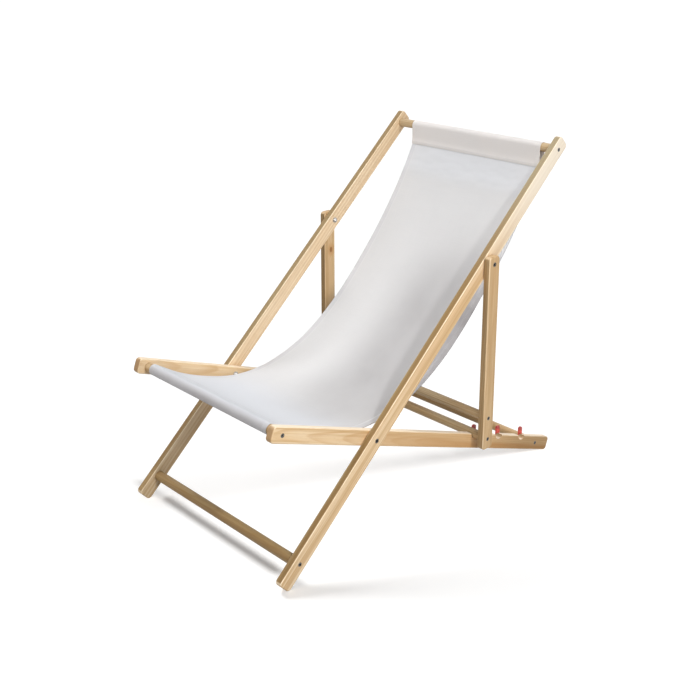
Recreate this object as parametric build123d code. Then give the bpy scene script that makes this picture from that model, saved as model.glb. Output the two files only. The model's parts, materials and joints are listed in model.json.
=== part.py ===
from build123d import *
import math
import os

# A folding sling deck chair in pine. A long back frame and a seat frame cross at a pivot,
# a prop frame hangs from the back frame, and its lower bar lies in notches of the seat rails.
# Millimetres, +Z up, the sitter faces -Y, and the chair is symmetric across X.

# Rail sections
RAIL_THICKNESS = 18.0
LONG_DEPTH = 40.0
SEAT_DEPTH = 38.0
PROP_DEPTH = 38.0
END_RADIUS = 10.0
EDGE_RADIUS = 3.0
FOOT_FLAT = 1.2

# Back frame, with distances measured up the rail from its foot
LONG_WIDTH = 560.0
LONG_LENGTH = 1265.0
LONG_TILT = 42.6
STRETCHER_AT = 61.5
SEAT_PIVOT_AT = 378.5
PROP_PIVOT_AT = 882.5
TOP_DOWEL_INSET = 30.0

# Seat frame, with lengths measured from the seat pivot
SEAT_FRONT = 305.0
SEAT_REAR = 728.0
FRONT_DOWEL_INSET = 30.0
REAR_BAR_INSET = 60.0

# Notches in the seat rails, counted forwards from the rear end
NOTCH_COUNT = 3
NOTCH_REAR_INSET = 131.5
NOTCH_PITCH = 104.0
NOTCH_RADIUS = 15.0
NOTCH_DEPTH = 11.5
BAR_CLEARANCE = 0.3

# Stop tabs behind the notches, upright plates on the inner faces of the seat rails
TAB_WIDTH = 12.0
TAB_THICKNESS = 5.0
TAB_RISE = 12.0
TAB_DROP = 29.0
TAB_RADIUS = 5.0
TAB_CLEARANCE = 0.8
TAB_SCREW_DROP = 20.0
TAB_SCREW_DIAMETER = 3.5
TAB_SCREW_HEAD = 7.0
TAB_SCREW_HEAD_HEIGHT = 2.2
TAB_SCREW_LENGTH = 18.0

# Prop frame
PROP_TOP_END = 20.0
PROP_FOOT_END = 27.0
PROP_BAR_SPACING = 56.5

# Dowels, their sockets and the screws that hold them
DOWEL_DIAMETER = 23.0
STRETCHER_DIAMETER = 25.0
SOCKET_DEPTH = 8.0
SOCKET_CLEARANCE = 0.1
SCREW_DIAMETER = 5.0
SCREW_HEAD = 10.0
SCREW_LENGTH = 50.0
SCREW_SOCKET = 4.0
SCREW_SOCKET_DEPTH = 2.0
HOLE_CLEARANCE = 0.1

# Pivot bolts, nuts and washers
BOLT_DIAMETER = 6.0
BOLT_HEAD = 11.0
BOLT_HEAD_THICKNESS = 3.5
BOLT_HEAD_SINK = 0.5
BOLT_SOCKET = 6.0
BOLT_SOCKET_DEPTH = 2.5
BOLT_BITE = 3.0
NUT_FLANGE = 14.0
NUT_FLANGE_THICKNESS = 2.0
NUT_WALL = 2.5
WASHER_DIAMETER = 18.0
WASHER_THICKNESS = 2.0
WASHER_CLEARANCE = 0.3
PIVOT_CLEARANCE = 0.05
HEAD_CLEARANCE = 0.4
SIDE_PLAY = 0.2

# Canvas sling
SLING_WIDTH = 440.0
SLING_THICKNESS = 1.6
SLING_DIP = 88.0
SLEEVE_DEPTH = 44.0
SLEEVE_CLEARANCE = 0.3
SLING_ARCS = 8

# Places across the chair, for its right half
rail_gap = WASHER_THICKNESS + SIDE_PLAY
long_outer = LONG_WIDTH / 2
long_inner = long_outer - RAIL_THICKNESS
seat_outer = long_inner - rail_gap
seat_inner = seat_outer - RAIL_THICKNESS
prop_inner = long_outer + rail_gap
prop_outer = prop_inner + RAIL_THICKNESS

ON_BASE = (Align.CENTER, Align.CENTER, Align.MIN)
UNDER_TOP = (Align.CENTER, Align.CENTER, Align.MAX)


def member_plane(origin, angle):
    """Side plane of a member: first axis along it, second across it, third along +X."""
    return Plane.YZ * Pos(*origin) * Rot(0, 0, angle)


def along(origin, angle, distance, across=0.0):
    """Point (y, z) at a distance along a member and at another across it."""
    turn = math.radians(angle)
    y = origin[0] + distance * math.cos(turn) - across * math.sin(turn)
    z = origin[1] + distance * math.sin(turn) + across * math.cos(turn)
    return y, z


# The back frame stands on the rounded lower corners of its feet, cut flat at the ground
tilt = math.radians(LONG_TILT)
foot_corner = (LONG_DEPTH / 2 - END_RADIUS) * math.cos(tilt) - END_RADIUS * math.sin(tilt)
foot = (0.0, END_RADIUS - FOOT_FLAT + foot_corner)
seat_pivot = along(foot, LONG_TILT, SEAT_PIVOT_AT)
prop_pivot = along(foot, LONG_TILT, PROP_PIVOT_AT)
top_dowel_at = LONG_LENGTH - TOP_DOWEL_INSET
top_axis = along(foot, LONG_TILT, top_dowel_at)

# The seat frame leans until its rear corners reach the ground
seat_reach = SEAT_REAR - END_RADIUS
seat_corner = SEAT_DEPTH / 2 - END_RADIUS
corner_fall = seat_pivot[1] - END_RADIUS + FOOT_FLAT
corner_slope = math.asin(corner_fall / math.hypot(seat_reach, seat_corner))
seat_angle = math.degrees(math.atan2(seat_corner, seat_reach) - corner_slope)
front_dowel_at = FRONT_DOWEL_INSET - SEAT_FRONT
rear_bar_at = SEAT_REAR - REAR_BAR_INSET
front_axis = along(seat_pivot, seat_angle, front_dowel_at)
last_notch = SEAT_REAR - NOTCH_REAR_INSET
notch_places = [last_notch - NOTCH_PITCH * step for step in range(NOTCH_COUNT)]
bar_height = SEAT_DEPTH / 2 - NOTCH_DEPTH + BAR_CLEARANCE + DOWEL_DIAMETER / 2

# The prop legs reach from their pivot to the bar in the foremost notch
bar_axis = along(seat_pivot, seat_angle, min(notch_places), bar_height)
lower_bar_at = math.dist(prop_pivot, bar_axis)
upper_bar_at = lower_bar_at - PROP_BAR_SPACING
prop_angle = math.degrees(math.atan2(bar_axis[1] - prop_pivot[1], bar_axis[0] - prop_pivot[0]))

long_plane = member_plane(foot, LONG_TILT)
seat_plane = member_plane(seat_pivot, seat_angle)
prop_plane = member_plane(prop_pivot, prop_angle)


def left(shape):
    """The left-hand twin of a right-hand piece."""
    return mirror(shape, about=Plane.YZ)


def both(shape):
    """A right-hand piece together with its left-hand twin."""
    return shape + left(shape)


def pin(plane, distance, across, radius, low, high):
    """A round bar along X from low to high, at a place on a member."""
    return plane * Pos(distance, across, low) * Cylinder(radius, high - low, align=ON_BASE)


def rail(plane, start, end, depth, inner):
    """A right-hand rail with rounded end corners and eased long edges."""
    outline = Pos((start + end) / 2, 0, inner) * RectangleRounded(end - start, depth, END_RADIUS)
    blank = extrude(outline, RAIL_THICKNESS)
    eased = fillet(blank.faces().filter_by(Axis.Z).edges(), EDGE_RADIUS)
    return plane * eased


def below_ground():
    """The space under the chair, which cuts its feet flat."""
    reach = LONG_LENGTH + SEAT_REAR
    return Pos(0, 0, -END_RADIUS) * Box(LONG_WIDTH, 2 * reach, 2 * END_RADIUS)


def screw_form(plane, distance, outer, grow=0.0):
    """A countersunk screw driven inwards from an outer face, or with grow the hole for it."""
    shank = SCREW_DIAMETER / 2 + grow
    head = SCREW_HEAD / 2 + grow
    head_depth = (SCREW_HEAD - SCREW_DIAMETER) / 2
    body = pin(plane, distance, 0, shank, outer - SCREW_LENGTH, outer)
    cone = plane * Pos(distance, 0, outer - head_depth) * Cone(shank, head, head_depth, align=ON_BASE)
    return body + cone


def hex_socket(plane, distance, face, across_flats, depth):
    """The hexagon socket sunk into a head at an outer face."""
    hexagon = RegularPolygon(across_flats / 2, 6, major_radius=False)
    return plane * Pos(distance, 0, face) * extrude(hexagon, -depth)


def dowel_screw(plane, distance, outer):
    """A screw for the right-hand end of a dowel."""
    socket = hex_socket(plane, distance, outer, SCREW_SOCKET, SCREW_SOCKET_DEPTH)
    return screw_form(plane, distance, outer) - socket


def dowel_seat(plane, distance, diameter, inner):
    """The blind socket and screw hole that a right-hand rail has for a dowel."""
    radius = diameter / 2 + SOCKET_CLEARANCE
    socket = pin(plane, distance, 0, radius, inner, inner + SOCKET_DEPTH)
    return socket + screw_form(plane, distance, inner + RAIL_THICKNESS, HOLE_CLEARANCE)


def dowel(plane, distance, diameter, inner):
    """A dowel from socket to socket, drilled at both ends for its screws."""
    half = inner + SOCKET_DEPTH
    blank = pin(plane, distance, 0, diameter / 2, -half, half)
    return blank - both(screw_form(plane, distance, inner + RAIL_THICKNESS, HOLE_CLEARANCE))


def pivot_bore(plane, distance, inner):
    """A running bore for a pivot bolt, right through a rail."""
    radius = BOLT_DIAMETER / 2 + PIVOT_CLEARANCE
    return pin(plane, distance, 0, radius, inner, inner + RAIL_THICKNESS)


def head_recess(plane, distance, outer):
    """The round recess that a bolt head turns in."""
    depth = BOLT_HEAD_SINK + BOLT_HEAD_THICKNESS + SIDE_PLAY
    return pin(plane, distance, 0, BOLT_HEAD / 2 + HEAD_CLEARANCE, outer - depth, outer)


def pivot_bolt(plane, distance, outer, nut_face):
    """A flat-headed bolt from an outer face into the nut on an inner face."""
    top = outer - BOLT_HEAD_SINK
    under = top - BOLT_HEAD_THICKNESS
    end = nut_face - NUT_FLANGE_THICKNESS - BOLT_BITE
    head = pin(plane, distance, 0, BOLT_HEAD / 2, under, top)
    shank = pin(plane, distance, 0, BOLT_DIAMETER / 2, end, under)
    return head + shank - hex_socket(plane, distance, top, BOLT_SOCKET, BOLT_SOCKET_DEPTH)


def cap_nut(plane, distance, face):
    """A domed nut with a round flange against an inner face."""
    dome_face = face - NUT_FLANGE_THICKNESS
    bolt_end = dome_face - BOLT_BITE - SIDE_PLAY
    flange = pin(plane, distance, 0, NUT_FLANGE / 2, dome_face, face)
    half_ball = Sphere(BOLT_DIAMETER / 2 + NUT_WALL, arc_size1=-90, arc_size2=0, align=UNDER_TOP)
    dome = plane * Pos(distance, 0, dome_face) * half_ball
    return flange + dome - pin(plane, distance, 0, BOLT_DIAMETER / 2 + PIVOT_CLEARANCE, bolt_end, face)


def washer(plane, distance, low):
    """A spacer washer between two rails."""
    high = low + WASHER_THICKNESS
    ring = pin(plane, distance, 0, WASHER_DIAMETER / 2, low, high)
    return ring - pin(plane, distance, 0, BOLT_DIAMETER / 2 + WASHER_CLEARANCE, low, high)


def long_rail():
    """The right-hand long rail with its sockets, pivot bores and flat foot."""
    blank = rail(long_plane, 0, LONG_LENGTH, LONG_DEPTH, long_inner)
    blank -= dowel_seat(long_plane, STRETCHER_AT, STRETCHER_DIAMETER, long_inner)
    blank -= dowel_seat(long_plane, top_dowel_at, DOWEL_DIAMETER, long_inner)
    blank -= pivot_bore(long_plane, SEAT_PIVOT_AT, long_inner)
    blank -= head_recess(long_plane, SEAT_PIVOT_AT, long_outer)
    blank -= pivot_bore(long_plane, PROP_PIVOT_AT, long_inner)
    return blank - below_ground()


def seat_rail():
    """The right-hand seat rail with its notches, sockets, pivot bore and flat rear corner."""
    blank = rail(seat_plane, -SEAT_FRONT, SEAT_REAR, SEAT_DEPTH, seat_inner)
    blank -= dowel_seat(seat_plane, front_dowel_at, DOWEL_DIAMETER, seat_inner)
    blank -= dowel_seat(seat_plane, rear_bar_at, DOWEL_DIAMETER, seat_inner)
    blank -= pivot_bore(seat_plane, 0, seat_inner)
    notch_centre = SEAT_DEPTH / 2 - NOTCH_DEPTH + NOTCH_RADIUS
    for place in notch_places:
        blank -= pin(seat_plane, place, notch_centre, NOTCH_RADIUS, seat_inner, seat_outer)
        blank -= tab_screw_form(place, HOLE_CLEARANCE)
    return blank - below_ground()


def prop_leg():
    """The right-hand prop leg with its sockets and pivot bore."""
    blank = rail(prop_plane, -PROP_TOP_END, lower_bar_at + PROP_FOOT_END, PROP_DEPTH, prop_inner)
    blank -= dowel_seat(prop_plane, upper_bar_at, DOWEL_DIAMETER, prop_inner)
    blank -= dowel_seat(prop_plane, lower_bar_at, DOWEL_DIAMETER, prop_inner)
    blank -= pivot_bore(prop_plane, 0, prop_inner)
    return blank - head_recess(prop_plane, 0, prop_outer)


def tab_plane(place):
    """Upright side plane at the bar's axis when it lies in a notch."""
    return member_plane(along(seat_pivot, seat_angle, place, bar_height), 0)


def tab_centre():
    """How far behind the bar's axis the middle of a stop tab stands."""
    return DOWEL_DIAMETER / 2 + TAB_CLEARANCE + TAB_WIDTH / 2


def tab_screw_form(place, grow=0.0):
    """The screw of a stop tab, driven outwards, or with grow the hole for it."""
    face = seat_inner - TAB_THICKNESS
    radius = TAB_SCREW_DIAMETER / 2 + grow
    return pin(tab_plane(place), tab_centre(), -TAB_SCREW_DROP, radius, face, face + TAB_SCREW_LENGTH)


def tab_screw(place):
    """A stop tab's pan-headed screw."""
    face = seat_inner - TAB_THICKNESS
    low = face - TAB_SCREW_HEAD_HEIGHT
    head = pin(tab_plane(place), tab_centre(), -TAB_SCREW_DROP, TAB_SCREW_HEAD / 2, low, face)
    return head + tab_screw_form(place)


def stop_tab(place):
    """An upright tab that keeps the bar in its notch."""
    middle = (TAB_RISE - TAB_DROP) / 2
    plate = RectangleRounded(TAB_WIDTH, TAB_RISE + TAB_DROP, TAB_RADIUS)
    outline = Pos(tab_centre(), middle, seat_inner - TAB_THICKNESS) * plate
    solid = tab_plane(place) * extrude(outline, TAB_THICKNESS)
    return solid - tab_screw_form(place, HOLE_CLEARANCE)


def hang(front, back, low, halvings=80):
    """Scale and lowest place of cloth that hangs through two points down to a low height."""
    front_rise = front[1] - low
    back_rise = back[1] - low
    span = back[0] - front[0]
    small, large = span * 1e-3, span * 1e3
    for _ in range(halvings):
        scale = (small + large) / 2
        front_run = scale * math.acosh(1 + front_rise / scale)
        reach = front_run + scale * math.acosh(1 + back_rise / scale)
        if reach < span:
            small = scale
        else:
            large = scale
    return scale, front[0] + front_run


def cloth_length_at(scale, rise):
    """Length of hanging cloth from its lowest place to a point that lies a rise above it."""
    return math.sqrt((scale + rise) ** 2 - scale ** 2)


def turned(vector):
    """A vector turned a quarter turn to the left."""
    return -vector[1], vector[0]


def offset(point, *steps):
    """A point moved by several (vector, distance) steps."""
    y = point[0] + sum(vector[0] * distance for vector, distance in steps)
    z = point[1] + sum(vector[1] * distance for vector, distance in steps)
    return y, z


sleeve_inner = DOWEL_DIAMETER / 2 + SLEEVE_CLEARANCE
sleeve_outer = sleeve_inner + SLING_THICKNESS
sleeve_middle = (sleeve_inner + sleeve_outer) / 2
sleeve_tip = SLEEVE_DEPTH * sleeve_outer / sleeve_inner
seam_at = (SLEEVE_DEPTH + sleeve_tip) / 2


def seam(axis, heading):
    """Where the cloth leaves the sleeve round a dowel, on the left of its heading."""
    return offset(axis, (heading, seam_at), (turned(heading), sleeve_middle))


def teardrop(axis, heading, radius, tip_at):
    """A loop round a dowel that runs to a point, its left side along the heading."""
    narrow = 2 * math.degrees(math.atan2(radius, tip_at))

    def rim(angle):
        turn = math.radians(angle)
        steps = (heading, radius * math.cos(turn)), (turned(heading), radius * math.sin(turn))
        return offset(axis, *steps)

    near, far, low = rim(90), rim(180), rim(270 + narrow)
    tip = offset(near, (heading, tip_at))
    arcs = [ThreePointArc(near, rim(135), far), ThreePointArc(far, rim(225 + narrow / 2), low)]
    return make_face([Line(tip, near), *arcs, Line(low, tip)])


def sling_profile(passes=6):
    """Side outline of the sling: a sleeve at each end and the cloth hanging between them."""
    low = front_axis[1] - SLING_DIP
    front_start, back_start = front_axis, top_axis
    for _ in range(passes):
        scale, lowest = hang(front_start, back_start, low)
        front_run = -cloth_length_at(scale, front_start[1] - low)
        back_run = cloth_length_at(scale, back_start[1] - low)
        front_slope = math.atan(front_run / scale)
        back_slope = math.atan(back_run / scale)
        front_heading = (math.cos(front_slope), math.sin(front_slope))
        back_heading = (-math.cos(back_slope), -math.sin(back_slope))
        front_start = seam(front_axis, front_heading)
        back_start = seam(top_axis, back_heading)
    above, under = [], []
    for step in range(2 * SLING_ARCS + 1):
        run = front_run + (back_run - front_run) * step / (2 * SLING_ARCS)
        point = (lowest + scale * math.asinh(run / scale), low + math.hypot(scale, run) - scale)
        slope = math.atan(run / scale)
        normal = (-math.sin(slope), math.cos(slope))
        above.append(offset(point, (normal, SLING_THICKNESS / 2)))
        under.append(offset(point, (normal, -SLING_THICKNESS / 2)))
    edges = [Line(above[0], under[0]), Line(above[-1], under[-1])]
    for start in range(0, 2 * SLING_ARCS, 2):
        edges.append(ThreePointArc(*above[start:start + 3]))
        edges.append(ThreePointArc(*under[start:start + 3]))
    cloth = make_face(edges)
    for axis, heading in ((front_axis, front_heading), (top_axis, back_heading)):
        loop = teardrop(axis, heading, sleeve_outer, sleeve_tip)
        cloth += loop - teardrop(axis, heading, sleeve_inner, SLEEVE_DEPTH)
    print("sling, seam to seam", round(back_run - front_run, 1))
    return cloth


def sling():
    """The canvas sling, as wide as it is cut."""
    return Plane.YZ * extrude(sling_profile(), SLING_WIDTH / 2, both=True)


def frame_screws(plane, places, outer):
    """The screws at both ends of a frame's dowels."""
    return Part() + [both(dowel_screw(plane, place, outer)) for place in places]


nodes = {}
for name, make in (("long_rail", long_rail), ("seat_rail", seat_rail), ("prop_leg", prop_leg)):
    nodes[name + "_right"] = make()
    nodes[name + "_left"] = left(nodes[name + "_right"])

nodes["top_dowel"] = dowel(long_plane, top_dowel_at, DOWEL_DIAMETER, long_inner)
nodes["foot_stretcher"] = dowel(long_plane, STRETCHER_AT, STRETCHER_DIAMETER, long_inner)
nodes["seat_front_dowel"] = dowel(seat_plane, front_dowel_at, DOWEL_DIAMETER, seat_inner)
nodes["seat_rear_bar"] = dowel(seat_plane, rear_bar_at, DOWEL_DIAMETER, seat_inner)
nodes["prop_upper_bar"] = dowel(prop_plane, upper_bar_at, DOWEL_DIAMETER, prop_inner)
nodes["prop_lower_bar"] = dowel(prop_plane, lower_bar_at, DOWEL_DIAMETER, prop_inner)

nodes["long_frame_screws"] = frame_screws(long_plane, (STRETCHER_AT, top_dowel_at), long_outer)
nodes["seat_frame_screws"] = frame_screws(seat_plane, (front_dowel_at, rear_bar_at), seat_outer)
nodes["prop_frame_screws"] = frame_screws(prop_plane, (upper_bar_at, lower_bar_at), prop_outer)

pivots = {
    "seat_pivot": (SEAT_PIVOT_AT, long_outer, seat_inner - SIDE_PLAY, long_inner - WASHER_THICKNESS),
    "prop_pivot": (PROP_PIVOT_AT, prop_outer, long_inner, long_outer),
}
for name, (place, outer, nut_face, washer_low) in pivots.items():
    nodes[name + "_bolt_right"] = pivot_bolt(long_plane, place, outer, nut_face)
    nodes[name + "_bolt_left"] = left(nodes[name + "_bolt_right"])
    nodes[name + "_nut_right"] = cap_nut(long_plane, place, nut_face)
    nodes[name + "_nut_left"] = left(nodes[name + "_nut_right"])
    nodes[name + "_washers"] = both(washer(long_plane, place, washer_low))

nodes["stop_tabs_right"] = Part() + [stop_tab(place) for place in notch_places]
nodes["stop_tabs_left"] = left(nodes["stop_tabs_right"])
nodes["stop_tab_screws"] = both(Part() + [tab_screw(place) for place in notch_places])
nodes["canvas_sling"] = sling()

# The origin lies on the ground, under the middle of the chair's box
box = Compound(list(nodes.values())).bounding_box()
to_origin = Pos(0, -box.center().Y, 0)

os.makedirs("parts", exist_ok=True)
for name, shape in nodes.items():
    export_step(to_origin * shape, f"parts/{name}.step")
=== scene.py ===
"""Looks of a folding pine deck chair with a canvas sling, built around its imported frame.

Everything is in metres: +Z is up, the sitter faces -Y, and "right" is +X.
"""

import json
import math

import bpy
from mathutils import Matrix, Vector, noise


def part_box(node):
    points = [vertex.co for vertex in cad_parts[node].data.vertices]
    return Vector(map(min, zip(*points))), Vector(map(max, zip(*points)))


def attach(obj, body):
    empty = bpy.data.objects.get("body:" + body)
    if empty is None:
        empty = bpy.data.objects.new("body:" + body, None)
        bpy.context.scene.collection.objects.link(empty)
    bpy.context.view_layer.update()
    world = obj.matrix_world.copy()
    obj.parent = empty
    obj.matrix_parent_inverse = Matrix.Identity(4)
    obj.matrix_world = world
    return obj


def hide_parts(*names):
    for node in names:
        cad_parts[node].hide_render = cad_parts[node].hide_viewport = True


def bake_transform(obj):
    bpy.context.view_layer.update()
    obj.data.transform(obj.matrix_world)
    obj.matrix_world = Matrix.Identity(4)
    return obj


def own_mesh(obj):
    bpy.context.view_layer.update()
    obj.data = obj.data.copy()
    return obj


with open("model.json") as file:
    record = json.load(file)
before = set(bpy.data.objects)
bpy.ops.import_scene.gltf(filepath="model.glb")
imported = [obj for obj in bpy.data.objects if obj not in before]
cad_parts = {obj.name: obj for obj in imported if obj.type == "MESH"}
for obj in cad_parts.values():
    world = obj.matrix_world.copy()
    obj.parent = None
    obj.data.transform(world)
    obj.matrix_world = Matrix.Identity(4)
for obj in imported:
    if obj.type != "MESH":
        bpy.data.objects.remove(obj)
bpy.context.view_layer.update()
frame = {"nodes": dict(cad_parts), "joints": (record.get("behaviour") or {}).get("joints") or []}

# The photograph's camera
CAMERA_PLACE = (1.8157, -1.7351, 1.3694)
CAMERA_PITCH = math.radians(72.98)
CAMERA_TURN = math.radians(46.59)
CAMERA_LENS = 54.73
CAMERA_SENSOR = 36.0
CAMERA_SHIFT = -0.1358

# Light: three soft lamps and a box for the chair, two lamps for the floor, and a dim surround
RIGHT_FROM = Vector((0.67, -0.07, 0.74))
RIGHT_STRENGTH = 1.1
RIGHT_SPREAD = math.radians(4)
LEFT_FROM = Vector((-0.45, 0.25, 0.86))
LEFT_STRENGTH = 1.3
LEFT_SPREAD = math.radians(24)
FRONT_FROM = Vector((-0.1, -0.84, 0.53))
FRONT_STRENGTH = 1.4
FRONT_SPREAD = math.radians(50)
FLOOR_RIGHT_FROM = Vector((1.55, 0.09, 1.0))
FLOOR_RIGHT_STRENGTH = 2.2
FLOOR_RIGHT_SPREAD = math.radians(14)
FLOOR_LEFT_FROM = Vector((-0.85, 0.02, 1.0))
FLOOR_LEFT_STRENGTH = 1.57
FLOOR_LEFT_SPREAD = math.radians(20)
BOX_PLACE = Vector((1.5, -0.5, 1.15))
BOX_AIM = Vector((0.0, 0.0, 0.45))
BOX_SIZE = 0.8
BOX_POWER = 14.5
SURROUND = 0.22
SURROUND_ABOVE = (0.95, 0.975, 1.0, 1.0)
SURROUND_BESIDE = (1.0, 0.99, 0.98, 1.0)
FLOOR_SHOWN = (0.95, 0.95, 0.95, 1.0)
FLOOR_BOUNCE = (0.45, 0.45, 0.45, 1.0)
FLOOR_GLOW = 0.16
FLOOR_REACH = 60.0

# Canvas sling
SLING_HALF_WIDTH = 0.220
SLING_SPACE = 0.0016
SLING_DIP = 0.088
SLEEVE_DEPTH = 0.044
SLEEVE_CLEARANCE = 0.0003
CLOTH = 0.0009
LOOSE_HEM = 0.009
SIDE_HEM = 0.016
SIDE_STITCH = 0.0128
SEAM_STITCHES = (0.0025, 0.0065)
SEAM_ALLOWANCE = 0.004
GROOVE_DEPTH = 0.00035
GROOVE_WIDTH = 0.0015
EDGE_LIFT_BACK = 0.007
EDGE_LIFT_SEAT = 0.0025
RIPPLE = 0.0005
RIPPLES_ACROSS = 11.0
RIPPLES_ALONG = 9.0
RIPPLE_SEED = 3.7
RIPPLE_FULL_LIFT = 0.001
SLEEVE_SLIDE = 0.012
FRONT_PLY_PRESS = 0.0002
TOP_PLY_GAP = 0.00005
ROW_STEP = 0.011
LOOSE_ROW_STEP = 0.003
COLUMN_STEP = 0.016
EDGE_COLUMNS = (0.0, 0.0012, 0.006)
GROOVE_COLUMNS = (-1.6, -0.8, 0.0, 0.8)
INNER_COLUMN = 0.022
WRAP_STEP = math.radians(9)
FOLD_LENGTH = 0.060
WEAVE_PITCH = 0.0011

# Sewing thread
STITCH_LENGTH = 0.0032
STITCH_PITCH = 0.0042
THREAD_RADIUS = 0.0003
THREAD_SIDES = 6
SEAM_FIRST_STITCH = 0.003
SEAM_LAST_STITCH = 0.006


def centre(node):
    """Middle of a node's box."""
    low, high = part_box(node)
    return (Vector(low) + Vector(high)) / 2


def side_view(point):
    """A point's place in the chair's side view, as (y, z)."""
    return Vector((point[1], point[2]))


pivots = {joint["name"]: Vector(joint["pos_m"]) for joint in frame["joints"]}
seat_pivot = pivots["frame_fold"]
prop_pivot = pivots["prop_swing"]
top_axis = side_view(centre("top_dowel"))
front_axis = side_view(centre("seat_front_dowel"))
dowel_low, dowel_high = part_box("top_dowel")
dowel_radius = (dowel_high[2] - dowel_low[2]) / 2


# Materials

class Finish:
    """A material in the making. Each method adds a node and gives back its output."""

    def __init__(self, name):
        self.material = bpy.data.materials.new(name)
        self.material.use_nodes = True
        self.tree = self.material.node_tree
        self.shader = self.tree.nodes["Principled BSDF"]

    def put(self, socket, value):
        """Links an output to a socket, or sets the socket to a constant."""
        if isinstance(value, bpy.types.NodeSocket):
            self.tree.links.new(value, socket)
        else:
            socket.default_value = value

    def add(self, kind, inputs, output=0, **settings):
        """Adds a shader node of a kind, with its inputs and settings."""
        node = self.tree.nodes.new("ShaderNode" + kind)
        for name, value in settings.items():
            setattr(node, name, value)
        for key, value in inputs.items():
            self.put(node.inputs[key], value)
        return node.outputs[output]

    def coordinates(self, kind):
        """Texture coordinates of a kind, such as Object, Normal or UV."""
        return self.add("TexCoord", {}, kind)

    def own_axes(self, kind, tilt, turn=0.0, origin=(0.0, 0.0, 0.0)):
        """Coordinates along a member's own axes: through it, along it and across it."""
        inputs = {"Vector": self.coordinates(kind), "Location": origin, "Rotation": (tilt, 0.0, turn)}
        return self.add("Mapping", inputs, vector_type="TEXTURE")

    def math(self, operation, first, second=0.0):
        """One of the Math node's operations."""
        return self.add("Math", {0: first, 1: second}, operation=operation)

    def product(self, *factors):
        """All the factors multiplied together."""
        result = factors[0]
        for factor in factors[1:]:
            result = self.math("MULTIPLY", result, factor)
        return result

    def total(self, *terms):
        """All the terms added together."""
        result = terms[0]
        for term in terms[1:]:
            result = self.math("ADD", result, term)
        return result

    def split(self, vector):
        """A vector's three components."""
        node = self.tree.nodes.new("ShaderNodeSeparateXYZ")
        self.put(node.inputs[0], vector)
        return node.outputs[0], node.outputs[1], node.outputs[2]

    def noise(self, vector, scale=1.0, detail=2.0, roughness=0.5):
        """Cloudy noise between 0 and 1, mostly close to a half."""
        inputs = {"Vector": vector, "Scale": scale, "Detail": detail, "Roughness": roughness}
        return self.add("TexNoise", inputs)

    def pattern(self, vector, repeats, detail=2.0, roughness=0.5):
        """Noise that repeats about so many times in a metre along each axis."""
        stretched = self.add("VectorMath", {0: vector, 1: repeats}, operation="MULTIPLY")
        return self.noise(stretched, detail=detail, roughness=roughness)

    def ease(self, value, low, high, bottom=0.0, top=1.0):
        """A smooth step from bottom to top as the value goes from low to high."""
        inputs = {"Value": value, "From Min": low, "From Max": high, "To Min": bottom, "To Max": top}
        return self.add("MapRange", inputs, interpolation_type="SMOOTHSTEP")

    def mix(self, factor, first, second, blend="MIX"):
        """The first colour, with a share of the second one laid over it."""
        inputs = {"Factor": factor, 6: first, 7: second}
        return self.add("Mix", inputs, 2, data_type="RGBA", blend_type=blend)

    def bump(self, height, distance, below=None):
        """A normal for a height, with the metres that 1 stands for, over another bump or on its own."""
        inputs = {"Height": height, "Distance": distance, "Strength": 1.0}
        if below is not None:
            inputs["Normal"] = below
        return self.add("Bump", inputs)

    def surface(self, values):
        """Sets the shader's sockets and gives back the material."""
        for name, value in values.items():
            self.put(self.shader.inputs[name], value)
        return self.material


PALE_PINE = (0.88, 0.72, 0.50, 1.0)
HONEY_PINE = (0.79, 0.58, 0.345, 1.0)
TAN_PINE = (0.69, 0.45, 0.225, 1.0)
STREAK = (0.60, 0.40, 0.205, 1.0)
LATE_WOOD = (0.57, 0.33, 0.14, 1.0)
HEART_WOOD = (0.52, 0.27, 0.095, 1.0)
END_GRAIN = (0.34, 0.20, 0.09, 1.0)
SHADE_AND_DARK_TONE = (0.345, 0.305, 0.21, 1.0)
LIT_PINE = (0.95, 0.875, 0.75, 1.0)
ARRIS_HIGHLIGHT = (0.95, 0.82, 0.62, 1.0)
KNOT = (0.26, 0.105, 0.03, 1.0)
KNOT_RADIUS = 0.006
KNOT_SWIRL = 3.5
LATE_SHARE = 0.6
FIBRE_SHARE = 0.40
FLECK_SHARE = 0.35
RING_WANDER = 0.022
PINE_BUMP = 0.00018

# How often the pine's patterns repeat in a metre through a member, along it and across it
WANDER_REPEATS = (9.0, 2.2, 9.0)
LATE_REPEATS = (60.0, 1.6, 60.0)
STREAK_REPEATS = (60.0, 1.2, 85.0)
FIBRE_REPEATS = (900.0, 9.0, 900.0)
FLECK_REPEATS = (1500.0, 45.0, 1500.0)
TONE_REPEATS = (42.0, 3.0, 42.0)
HIGHLIGHT_PATCH_REPEATS = (30.0, 18.0, 30.0)


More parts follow.
